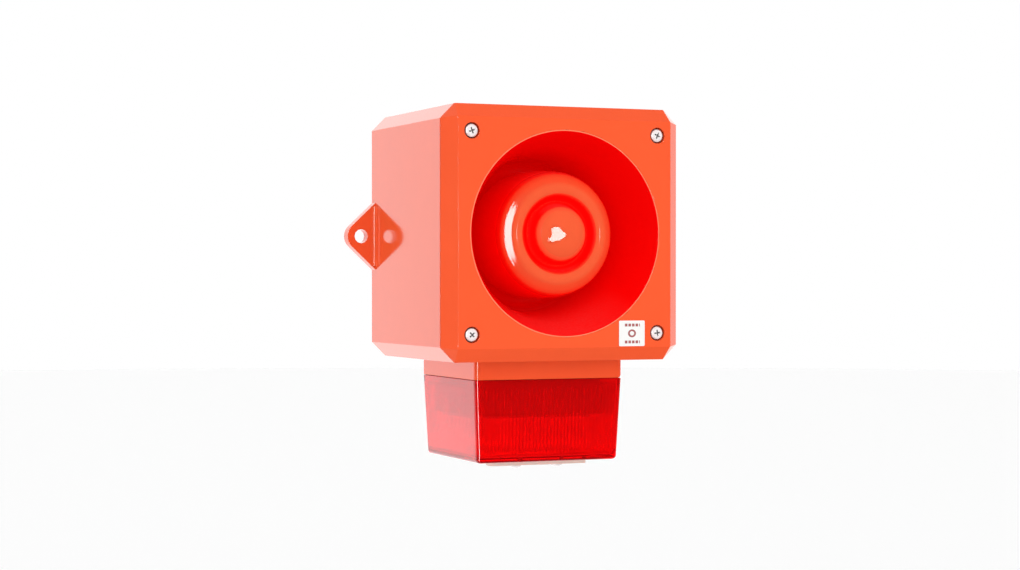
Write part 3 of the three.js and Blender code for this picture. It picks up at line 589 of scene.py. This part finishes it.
LEG_SIZE = (4.6 * MM, 17 * MM, 5 * MM)
LEG_RADIUS, LEG_DEPTH = 40.1, 67.1
GATE_MARK = {"x": -5.3, "z": -0.6, "depth": 3.27, "tilt": 0.105, "radius": 5.4, "within": 8}


def leg_box(turn):
    work = bmesh.new()
    bmesh.ops.create_cube(work, size=1.0)
    bmesh.ops.scale(work, verts=work.verts, vec=LEG_SIZE)
    bmesh.ops.translate(work, verts=work.verts,
                        vec=(LEG_RADIUS * MM, (face_y + LEG_DEPTH) * MM, 0))
    bmesh.ops.rotate(work, verts=work.verts, cent=(0, 0, 0), matrix=Matrix.Rotation(turn, 3, "Y"))
    mesh = bpy.data.meshes.new("leg")
    work.to_mesh(mesh)
    work.free()
    return temporary(mesh)


def press_gate_mark(mesh):
    """The flat, slightly tilted scar with three lobes that the gate leaves on the dome."""
    for vert in mesh.vertices:
        x, y, z = (c / MM for c in vert.co)
        from_x, from_z = x - GATE_MARK["x"], z - GATE_MARK["z"]
        turn = math.atan2(from_z, from_x)
        lobes = 1 + 0.16 * math.cos(3 * turn + 0.5) + 0.07 * math.cos(5 * turn)
        inside = math.hypot(from_x, from_z) < GATE_MARK["radius"] * lobes
        if inside and y < face_y + GATE_MARK["within"]:
            vert.co.y = (face_y + GATE_MARK["depth"] - GATE_MARK["tilt"] * from_x) * MM


centre_plain = turned("horn_centre", centre_front + centre_inside)
press_gate_mark(centre_plain)
centre_work = temporary(centre_plain)
legs = [leg_box(math.pi / 4 + leg * 2 * math.pi / 3) for leg in range(3)]
for leg in legs:
    union = centre_work.modifiers.new("leg", "BOOLEAN")
    union.operation = "UNION"
    union.object = leg
    union.solver = "EXACT"
centre_mesh = plain_mesh(centre_work, "horn_centre")
for thing in [centre_work, *legs]:
    bpy.data.objects.remove(thing)
horn_centre = place("horn_centre", soften(centre_mesh), "cover", "horn_red", ["horn_plug"])
# The groove and the deep faces take the duller red with painted shade and painted light.
second_finish(horn_centre, sunk_shade_finish,
              lambda radius, depth: 15.0 < radius < 26.5 or depth > 21)
print(horn_centre.name, "has", len(horn_centre.data.polygons), "faces")

# %% [markdown]
# ## Screws
#
# There are five sets of screws, all the same idea: a turned head with a recess, on a threaded
# shank. Geometry Nodes suit that well. The tree swells a straight line into the head and the
# shank by a rule for the radius, cuts the recess with tapered blades, and puts one copy on each
# point.

# %% A Geometry Nodes tree for screws
def geometry_tree(name, numbers, vectors=()):
    """A tree that takes a geometry, named sizes in mm and a finish, and gives a geometry."""
    tree = bpy.data.node_groups.new(name, "GeometryNodeTree")
    tree.interface.new_socket("Geometry", in_out="INPUT", socket_type="NodeSocketGeometry")
    for label, size in numbers:
        made = tree.interface.new_socket(label, in_out="INPUT", socket_type="NodeSocketFloat")
        made.default_value = size
    for label in vectors:
        tree.interface.new_socket(label, in_out="INPUT", socket_type="NodeSocketVector")
    tree.interface.new_socket("Finish", in_out="INPUT", socket_type="NodeSocketMaterial")
    tree.interface.new_socket("Geometry", in_out="OUTPUT", socket_type="NodeSocketGeometry")
    return tree, tree.nodes.new("NodeGroupInput").outputs, tree.nodes.new("NodeGroupOutput")


def close_tree(tree, geometry, finish, end):
    real = put(tree, "GeometryNodeRealizeInstances", {"Geometry": geometry})
    made = put(tree, "GeometryNodeSetMaterial", {"Geometry": real.outputs[0], "Material": finish})
    tree.links.new(made.outputs[0], end.inputs[0])


def in_metres(tree, value):
    return calc(tree, "MULTIPLY", value, MM)


screw_tree, screw_in, screw_out = geometry_tree("recessed_screws", [
    ("Head radius", 4.75), ("Head height", 3.1), ("Head fullness", 3.2), ("Shank radius", 2.35),
    ("Shank length", 15.0), ("Thread pitch", 0.8), ("Recess reach", 2.7), ("Recess width", 1.2),
    ("Recess depth", 1.8), ("Second blade", 1.0)], ["Axis turn"])
HEAD_ARC = 0.497 * math.pi
HEAD_POINTS, HEAD_SIDES = 14, 32
SHANK_POINTS, SHANK_SIDES = 90, 20
THREAD_DEPTH = 0.14
SHANK_OVERLAP = 0.2 * MM


def swollen_line(tree, points, height, radius, sides):
    """A closed turned body: a line up Z whose radius and height follow how far along it is."""
    line = put(tree, "GeometryNodeCurvePrimitiveLine", {
        "Start": (0, 0, 0), "End": (0, 0, 1)}).outputs[0]
    line = put(tree, "GeometryNodeResampleCurve", {"Curve": line, "Count": points}).outputs[0]
    along = put(tree, "GeometryNodeSplineParameter").outputs["Factor"]
    level = put(tree, "ShaderNodeCombineXYZ", {"Z": height(along)}).outputs[0]
    line = put(tree, "GeometryNodeSetPosition", {"Geometry": line, "Position": level}).outputs[0]
    ring = put(tree, "GeometryNodeCurvePrimitiveCircle", {
        "Resolution": sides, "Radius": 1.0}).outputs[0]
    return put(tree, "GeometryNodeCurveToMesh", {
        "Curve": line, "Profile Curve": ring, "Scale": radius(along), "Fill Caps": True}).outputs[0]


def head_angle(along):
    return calc(screw_tree, "MULTIPLY", along, HEAD_ARC)


def head_share(wave):
    power = calc(screw_tree, "DIVIDE", 2.0, screw_in["Head fullness"])
    return calc(screw_tree, "POWER", wave, power)


def head_height(along):
    return calc(screw_tree, "MULTIPLY", in_metres(screw_tree, screw_in["Head height"]),
                head_share(calc(screw_tree, "SINE", head_angle(along))))


def head_radius(along):
    return calc(screw_tree, "MULTIPLY", in_metres(screw_tree, screw_in["Head radius"]),
                head_share(calc(screw_tree, "COSINE", head_angle(along))))


def shank_height(along):
    down = calc(screw_tree, "MULTIPLY", in_metres(screw_tree, screw_in["Shank length"]), -1.0)
    return calc(screw_tree, "MULTIPLY_ADD", along, down, SHANK_OVERLAP)


def shank_radius(along):
    threads = calc(screw_tree, "DIVIDE", screw_in["Shank length"], screw_in["Thread pitch"])
    flanks = calc(screw_tree, "MULTIPLY", along, calc(screw_tree, "MULTIPLY", threads, 2.0))
    zigzag = calc(screw_tree, "PINGPONG", flanks, 1.0)
    share = calc(screw_tree, "MULTIPLY_ADD", zigzag, -THREAD_DEPTH, 1.0)
    return calc(screw_tree, "MULTIPLY", in_metres(screw_tree, screw_in["Shank radius"]), share)


screw_head = swollen_line(screw_tree, HEAD_POINTS, head_height, head_radius, HEAD_SIDES)
screw_shank = swollen_line(screw_tree, SHANK_POINTS, shank_height, shank_radius, SHANK_SIDES)
print("screw tree has", len(screw_tree.nodes), "nodes so far")

# %% Cut the recess and put a screw on each point
def blade(turn):
    bar = put(screw_tree, "GeometryNodeMeshCone", {
        "Vertices": 4, "Radius Top": math.sqrt(2), "Radius Bottom": 0.6, "Depth": 1.0})
    reach = in_metres(screw_tree, screw_in["Recess reach"])
    width = calc(screw_tree, "MULTIPLY", in_metres(screw_tree, screw_in["Recess width"]), 0.5)
    deep = in_metres(screw_tree, screw_in["Recess depth"])
    size = put(screw_tree, "ShaderNodeCombineXYZ", {
        "X": reach, "Y": width, "Z": calc(screw_tree, "MULTIPLY", deep, 1.3)}).outputs[0]
    squared = put(screw_tree, "GeometryNodeTransform", {
        "Geometry": bar.outputs[0], "Rotation": (0, 0, math.pi / 4)}).outputs[0]
    sized = put(screw_tree, "GeometryNodeTransform", {
        "Geometry": squared, "Scale": size}).outputs[0]
    sunk = put(screw_tree, "ShaderNodeCombineXYZ", {"Z": calc(
        screw_tree, "SUBTRACT", in_metres(screw_tree, screw_in["Head height"]), deep)}).outputs[0]
    return put(screw_tree, "GeometryNodeTransform", {
        "Geometry": sized, "Translation": sunk, "Rotation": (0, 0, turn)}).outputs[0]


whole = put(screw_tree, "GeometryNodeMeshBoolean", operation="UNION", solver="EXACT")
for part in (screw_head, screw_shank):
    screw_tree.links.new(part, whole.inputs["Mesh 2"])
second = put(screw_tree, "GeometryNodeSwitch", {
    "Switch": calc(screw_tree, "GREATER_THAN", screw_in["Second blade"], 0.5),
    "False": blade(0.0), "True": blade(math.pi / 2)}, input_type="GEOMETRY")
recessed = put(screw_tree, "GeometryNodeMeshBoolean", {"Mesh 1": whole.outputs[0]},
               operation="DIFFERENCE", solver="EXACT")
for cutter in (blade(0.0), second.outputs[0]):
    screw_tree.links.new(cutter, recessed.inputs["Mesh 2"])
twist = put(screw_tree, "GeometryNodeInputNamedAttribute", {"Name": "turn"}, data_type="FLOAT")
stood = put(screw_tree, "GeometryNodeInstanceOnPoints", {
    "Points": screw_in["Geometry"], "Instance": recessed.outputs[0],
    "Rotation": screw_in["Axis turn"]})
own_turn = put(screw_tree, "ShaderNodeCombineXYZ", {"Z": twist.outputs["Attribute"]})
spun = put(screw_tree, "GeometryNodeRotateInstances", {
    "Instances": stood.outputs[0], "Rotation": own_turn.outputs[0]})
close_tree(screw_tree, spun.outputs[0], screw_in["Finish"], screw_out)
print("screw tree has", len(screw_tree.nodes), "nodes")

# %% The five sets of screws
TOWARDS_FRONT = (math.pi / 2, 0, 0)
TOWARDS_FLOOR = (math.pi, 0, 0)
TOWARDS_SKY = (0, 0, 0)


def screw_set(name, members, sizes, axis_turn, turns, body):
    centres = [(Vector(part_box(m)[0]) + Vector(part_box(m)[1])) / 2 for m in members]
    along = 1 if axis_turn == TOWARDS_FRONT else 2
    points = bpy.data.meshes.new(name)
    points.from_pydata([[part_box(m)[0][k] + sizes["Head height"] * MM if k == along else c[k]
                         for k in range(3)] for m, c in zip(members, centres)], [], [])
    points.attributes.new("turn", "FLOAT", "POINT").data.foreach_set("value", turns)
    thing = temporary(points)
    grow = thing.modifiers.new("screws", "NODES")
    grow.node_group = screw_tree
    inputs = {item.name: item.identifier for item in screw_tree.interface.items_tree
              if item.in_out == "INPUT"}
    for label, size in sizes.items():
        grow[inputs[label]] = float(size)
    grow[inputs["Axis turn"]] = axis_turn
    grow[inputs["Finish"]] = finishes["steel"]
    mesh = plain_mesh(thing, name)
    bpy.data.objects.remove(thing)
    place(name, soften(mesh, 32), body, "steel", members)
    print(name, len(members), "screws,", len(mesh.polygons), "faces")


screw_set("cover_screws", [f"cover_screw_{i}" for i in (1, 2, 3, 4)], {
    "Head radius": 4.75, "Head height": 3.1, "Head fullness": 7.0, "Shank length": 15.2},
    TOWARDS_FRONT, [0.35, 1.15, 0.15, 0.75], "cover")
screw_set("board_screws", [f"board_screw_{i}" for i in (1, 2, 3, 4)], {
    "Head radius": 2.85, "Head height": 1.9, "Shank radius": 1.4, "Shank length": 7.6,
    "Thread pitch": 0.6, "Recess reach": 1.6, "Recess width": 0.8, "Recess depth": 1.1},
    TOWARDS_FRONT, [0.2, 0.9, 1.3, 0.5], "housing")
screw_set("terminal_screws", [f"terminal_screw_{i}" for i in (1, 2, 3, 4)], {
    "Head radius": 2.45, "Head height": 1.3, "Head fullness": 5.0, "Shank radius": 1.5,
    "Shank length": 4.0, "Thread pitch": 0.5, "Recess reach": 3.2, "Recess width": 0.8,
    "Recess depth": 0.8, "Second blade": 0.0}, TOWARDS_FRONT, [0.1, 0.5, -0.2, 0.9], "housing")
screw_set("lens_foot_screws", ["lens_screw_1", "lens_screw_2"], {
    "Head radius": 3.9, "Head height": 1.8, "Shank radius": 1.6, "Shank length": 11.5,
    "Thread pitch": 1.1, "Recess reach": 4.5, "Recess width": 1.2, "Recess depth": 0.9,
    "Second blade": 0.0}, TOWARDS_FLOOR, [math.pi / 2, math.pi / 2], "lens_set")
screw_set("neck_screws", ["base_screw_1", "base_screw_2"], {
    "Head radius": 3.35, "Head height": 2.3, "Shank radius": 1.4, "Shank length": 8.0,
    "Thread pitch": 1.0, "Recess reach": 1.9, "Recess width": 0.9, "Recess depth": 1.2},
    TOWARDS_SKY, [0.3, 0.7], "housing")

# %% [markdown]
# ## The beacon lens
#
# The lens is a tapered red cup. Its outside is smooth, so rain washes it, and its inside carries
# upright flutes that spread the flash. The flutes follow one rule, a row of half-waves along the
# wall, so the wall is built plain with enough columns, and a Geometry Nodes tree pushes the
# inside in by that rule.

# %% A plain tapered cup with its inside marked for fluting
TOP_HALF = (52.4, 49.55)
FOOT_HALF = (49.9, 47.2)
MID_Y = -66.05
LENS_TOP, LENS_BOTTOM = -94.5, -148.4
LENS_WALL = 2.6
FOOT_ROUND = 2.6
OUTER_CORNER, INNER_CORNER, LEAST_CORNER = 4.0, 2.2, 1.4
TOP_CHAMFER = 0.3
LEVELS, ARC_STEPS = 6, 6
FLUTE_PITCH, FLUTE_DEPTH = 2.465, 0.75


def half_sizes(z):
    share = (LENS_TOP - z) / (LENS_TOP - LENS_BOTTOM)
    return [a + share * (b - a) for a, b in zip(TOP_HALF, FOOT_HALF)]


def rounded_loop(half_x, half_y, corner, columns, corner_steps=8):
    """Points round a rounded rectangle: x, y, outward normal, place along its side."""
    loop = []
    spans = [(half_x, half_y, 0), (-half_x, half_y, 90),
             (-half_x, -half_y, 180), (half_x, -half_y, 270)]
    for side, (corner_x, corner_y, start) in enumerate(spans):
        cx = corner_x - math.copysign(corner, corner_x)
        cy = corner_y - math.copysign(corner, corner_y)
        for step in range(corner_steps):
            angle = math.radians(start + 90 * step / corner_steps)
            loop.append((cx + corner * math.cos(angle), cy + corner * math.sin(angle),
                         math.cos(angle), math.sin(angle), None))
        out = math.radians(start + 90)
        length = 2 * (half_x if side % 2 == 0 else half_y) - 2 * corner
        for step in range(columns):
            run = step / columns * length
            loop.append((cx + corner * math.cos(out) - run * math.sin(out),
                         cy + corner * math.sin(out) + run * math.cos(out),
                         math.cos(out), math.sin(out), run - length / 2))
    return loop


def lens_row(z, back, corner, flute=0.0):
    half_x, half_y = half_sizes(z)
    return half_x - back, half_y - back, corner, z, flute


def lens_rows():
    """The cup's rows, outside from the top down and inside from the foot up."""
    straight = LENS_BOTTOM + FOOT_ROUND - LENS_TOP
    outer = [lens_row(LENS_TOP, TOP_CHAMFER, OUTER_CORNER - TOP_CHAMFER),
             lens_row(LENS_TOP - 0.25, 0, OUTER_CORNER)]
    outer += [lens_row(LENS_TOP + k * straight / LEVELS, 0, OUTER_CORNER)
              for k in range(1, LEVELS + 1)]
    for k in range(1, ARC_STEPS + 1):
        angle = k / ARC_STEPS * math.pi / 2
        back = FOOT_ROUND * (1 - math.cos(angle))
        outer.append(lens_row(LENS_BOTTOM + FOOT_ROUND * (1 - math.sin(angle)), back,
                              max(OUTER_CORNER - back, LEAST_CORNER)))
    near_foot = [(LENS_BOTTOM + up, back, flute) for up, back, flute in (
        (3.0, 2.0, 0.0), (3.6, 0.9, 0.0), (4.8, 0.2, 0.0), (6.0, 0, 0.3), (7.2, 0, 1.0))]
    walls = [(-130, 0, 1.0), (-115, 0, 1.0), (-101, 0, 1.0)]
    near_top = [(-99.4, 0, 0.5), (-98.2, 0, 0.0), (LENS_TOP, 0, 0.0)]
    inner = [lens_row(z, LENS_WALL + back, INNER_CORNER, flute)
             for z, back, flute in near_foot + walls + near_top]
    return outer, inner


def lens_cup(columns=210):
    work = bmesh.new()
    depth = work.verts.layers.float.new("flute")
    run_layer = work.verts.layers.float.new("run")
    inward = work.verts.layers.float_vector.new("inward")
    outer, inner = lens_rows()
    rings = []
    for half_x, half_y, corner, z, flute in outer + inner:
        ring = []
        for x, y, nx, ny, run in rounded_loop(half_x, half_y, corner, columns):
            vert = work.verts.new((x * MM, (y + MID_Y) * MM, z * MM))
            vert[depth] = flute if run is not None else 0.0
            vert[run_layer] = run if run is not None else 0.0
            vert[inward] = (-nx, -ny, 0)
            ring.append(vert)
        rings.append(ring)
    first_inner = len(outer)
    count = len(rings[0])
    for index in range(len(rings)):
        if index == first_inner - 1:
            continue
        one, other = rings[index], rings[(index + 1) % len(rings)]
        for k in range(count):
            work.faces.new([one[k], one[(k + 1) % count], other[(k + 1) % count], other[k]])
    work.faces.new(rings[first_inner - 1])
    work.faces.new(list(reversed(rings[first_inner])))
    bmesh.ops.recalc_face_normals(work, faces=work.faces)
    mesh = bpy.data.meshes.new("lens_cap")
    work.to_mesh(mesh)
    work.free()
    return mesh


lens_mesh = lens_cup()
print("plain lens cup:", len(lens_mesh.polygons), "faces")

# %% A Geometry Nodes tree that flutes the inside
flute_tree, flute_in, flute_out = geometry_tree(
    "inner_flutes", [("Pitch", FLUTE_PITCH), ("Depth", FLUTE_DEPTH)])


def stored(name, kind):
    return put(flute_tree, "GeometryNodeInputNamedAttribute", {"Name": name},
               data_type=kind).outputs[0]


pitches = calc(flute_tree, "DIVIDE", stored("run", "FLOAT"), flute_in["Pitch"])
phase = calc(flute_tree, "MULTIPLY", pitches, math.pi)
wave = calc(flute_tree, "ABSOLUTE", calc(flute_tree, "COSINE", phase))
push = calc(flute_tree, "MULTIPLY", calc(flute_tree, "MULTIPLY", wave, stored("flute", "FLOAT")),
            in_metres(flute_tree, flute_in["Depth"]))
shift = put(flute_tree, "ShaderNodeVectorMath", {
    0: stored("inward", "FLOAT_VECTOR"), "Scale": push}, operation="SCALE")
pushed = put(flute_tree, "GeometryNodeSetPosition", {
    "Geometry": flute_in["Geometry"], "Offset": shift.outputs[0]})
close_tree(flute_tree, pushed.outputs[0], flute_in["Finish"], flute_out)

lens_work = temporary(lens_mesh)
fluting = lens_work.modifiers.new("flutes", "NODES")
fluting.node_group = flute_tree
fluted = plain_mesh(lens_work, "lens_cap")
bpy.data.objects.remove(lens_work)
for stored_name in ("flute", "run", "inward"):
    fluted.attributes.remove(fluted.attributes[stored_name])
lens_cap = place("lens_cap", soften(fluted, 50), "lens_set", "lens_red", ["lens"])
print(lens_cap.name, "has", len(lens_cap.data.polygons), "faces")

# %% [markdown]
# ## Everything else
#
# The rest keeps its CAD shape with rounded edges. The loop gives each node a copy with a bevel
# that suits its size, on the same body and in the same slot.

# %% Round the remaining nodes
EDGE_RADIUS = {"label": 0.08, "cover_gasket": 0.2, "base_gasket": 0.15, "lens_gasket": 0.15,
               "main_board": 0.08, "strobe_board": 0.08, "diaphragm": 0.1, "voice_coil": 0.1}
OWN_FINISH = {"label": film_finish, "strobe_tray": tray_finish}
replaced = {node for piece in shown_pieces() for node in piece.get("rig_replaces", [])}
for node in sorted(nodes):
    if node in replaced:
        continue
    radius = EDGE_RADIUS.get(node, 0.12 if node.startswith("tone_slider") else 0.25)
    place(node + "_shape", rounded_copy(node, radius), body_of_node[node], slot_of_node[node],
          [node], OWN_FINISH.get(node))

# %% [markdown]
# ## Floor, light and camera
#
# The stage is a plain pale floor under a white sky. The sky looks even, but it lights matt
# surfaces more from the front and is mirrored only from the back, as in a studio with a dark
# front wall. A tall soft light on the left draws the bright crescent on the horn's centre, and a
# small one at the front gives the dome its spark.

# %% The pale floor
FLOOR_Z, FLOOR_RADIUS, FLOOR_GLOW = -0.6, 12.0, 0.22
floor_mesh = bpy.data.meshes.new("floor")
floor_work = bmesh.new()
bmesh.ops.create_circle(floor_work, cap_ends=True, segments=96, radius=FLOOR_RADIUS)
bmesh.ops.translate(floor_work, verts=floor_work.verts, vec=(0, 0, FLOOR_Z))
floor_work.to_mesh(floor_mesh)
floor_work.free()
floor = bpy.data.objects.new("floor", floor_mesh)
bpy.context.scene.collection.objects.link(floor)
pale_floor = opaque_finish("pale_floor", (0.95, 0.95, 0.95), 0.8, wear=0.0, dust=0.0, cloud=0.005)
floor_shader = principled_of(pale_floor)
floor_shader.inputs["Emission Color"].default_value = (1, 1, 1, 1)
floor_shader.inputs["Emission Strength"].default_value = FLOOR_GLOW
floor_mesh.materials.append(pale_floor)
floor.visible_glossy = False
print("floor at z =", FLOOR_Z)

# %% The soft lights
MIRRORED_FRONT, MIRRORED_BACK = 0.04, 1.6
MATT_FRONT, MATT_BACK = 1.34, 0.28
SEEN_DIRECTLY, SEEN_THROUGH_LENS = 1.0, 2.1
world = bpy.data.worlds.new("white_room")
bpy.context.scene.world = world
world.use_nodes = True
world.cycles.sampling_method = "NONE"
sky = world.node_tree
sky.nodes.clear()
ray = put(sky, "ShaderNodeLightPath").outputs
facing = put(sky, "ShaderNodeSeparateXYZ", {
    "Vector": put(sky, "ShaderNodeTexCoord").outputs["Generated"]}).outputs["Y"]
mirrored = put(sky, "ShaderNodeMapRange", {
    "Value": facing, "From Min": 0.0, "From Max": 0.8,
    "To Min": MIRRORED_FRONT, "To Max": MIRRORED_BACK},
    interpolation_type="SMOOTHSTEP").outputs["Result"]
matt = put(sky, "ShaderNodeMapRange", {
    "Value": facing, "From Min": -0.3, "From Max": 0.3,
    "To Min": MATT_FRONT, "To Max": MATT_BACK}).outputs["Result"]


def pick(ray_kind, otherwise, chosen):
    return put(sky, "ShaderNodeMix", {
        "Factor": ray[ray_kind], "A": otherwise, "B": chosen}).outputs[0]


seen = pick("Is Camera Ray", mirrored, SEEN_DIRECTLY)
through = pick("Is Transmission Ray", seen, SEEN_THROUGH_LENS)
level = pick("Is Diffuse Ray", through, matt)
room = put(sky, "ShaderNodeBackground", {"Color": (1, 1, 1, 1), "Strength": level})
sky.links.new(room.outputs[0], sky.nodes.new("ShaderNodeOutputWorld").inputs["Surface"])


def soft_light(name, place_at, look_at, width, height, watts):
    data = bpy.data.lights.new(name, "AREA")
    data.shape = "RECTANGLE"
    data.size = width
    data.size_y = height
    data.energy = watts
    light = bpy.data.objects.new(name, data)
    bpy.context.scene.collection.objects.link(light)
    light.location = place_at
    light.rotation_euler = (Vector(look_at) - Vector(place_at)).to_track_quat("-Z", "Y").to_euler()
    light.visible_camera = False
    light.visible_diffuse = False


soft_light("tall_left", (-1.35, -0.99, 0.0), (0, -0.12, 0), 0.24, 11.0, 135)
soft_light("front_spark", (0.392, -1.95, 0.038), (0, -0.13, 0), 0.1, 0.1, 0.55)

# %% The camera
camera_data = bpy.data.cameras.new("view")
camera_data.lens = 74.73
camera_data.sensor_width = 36.0
camera_data.shift_x = -0.0002
camera_data.shift_y = 0.0081
camera_data.clip_start = 0.05
camera_data.clip_end = 60.0
camera = bpy.data.objects.new("view", camera_data)
bpy.context.scene.collection.objects.link(camera)
camera.location = (-0.5574, -1.3780, -0.0285)
camera.rotation_euler = (math.pi / 2 - 0.0072, 0, -0.39684)
bpy.context.scene.camera = camera
bpy.context.scene.view_settings.view_transform = "Standard"
print("camera at", [round(v, 3) for v in camera.location])
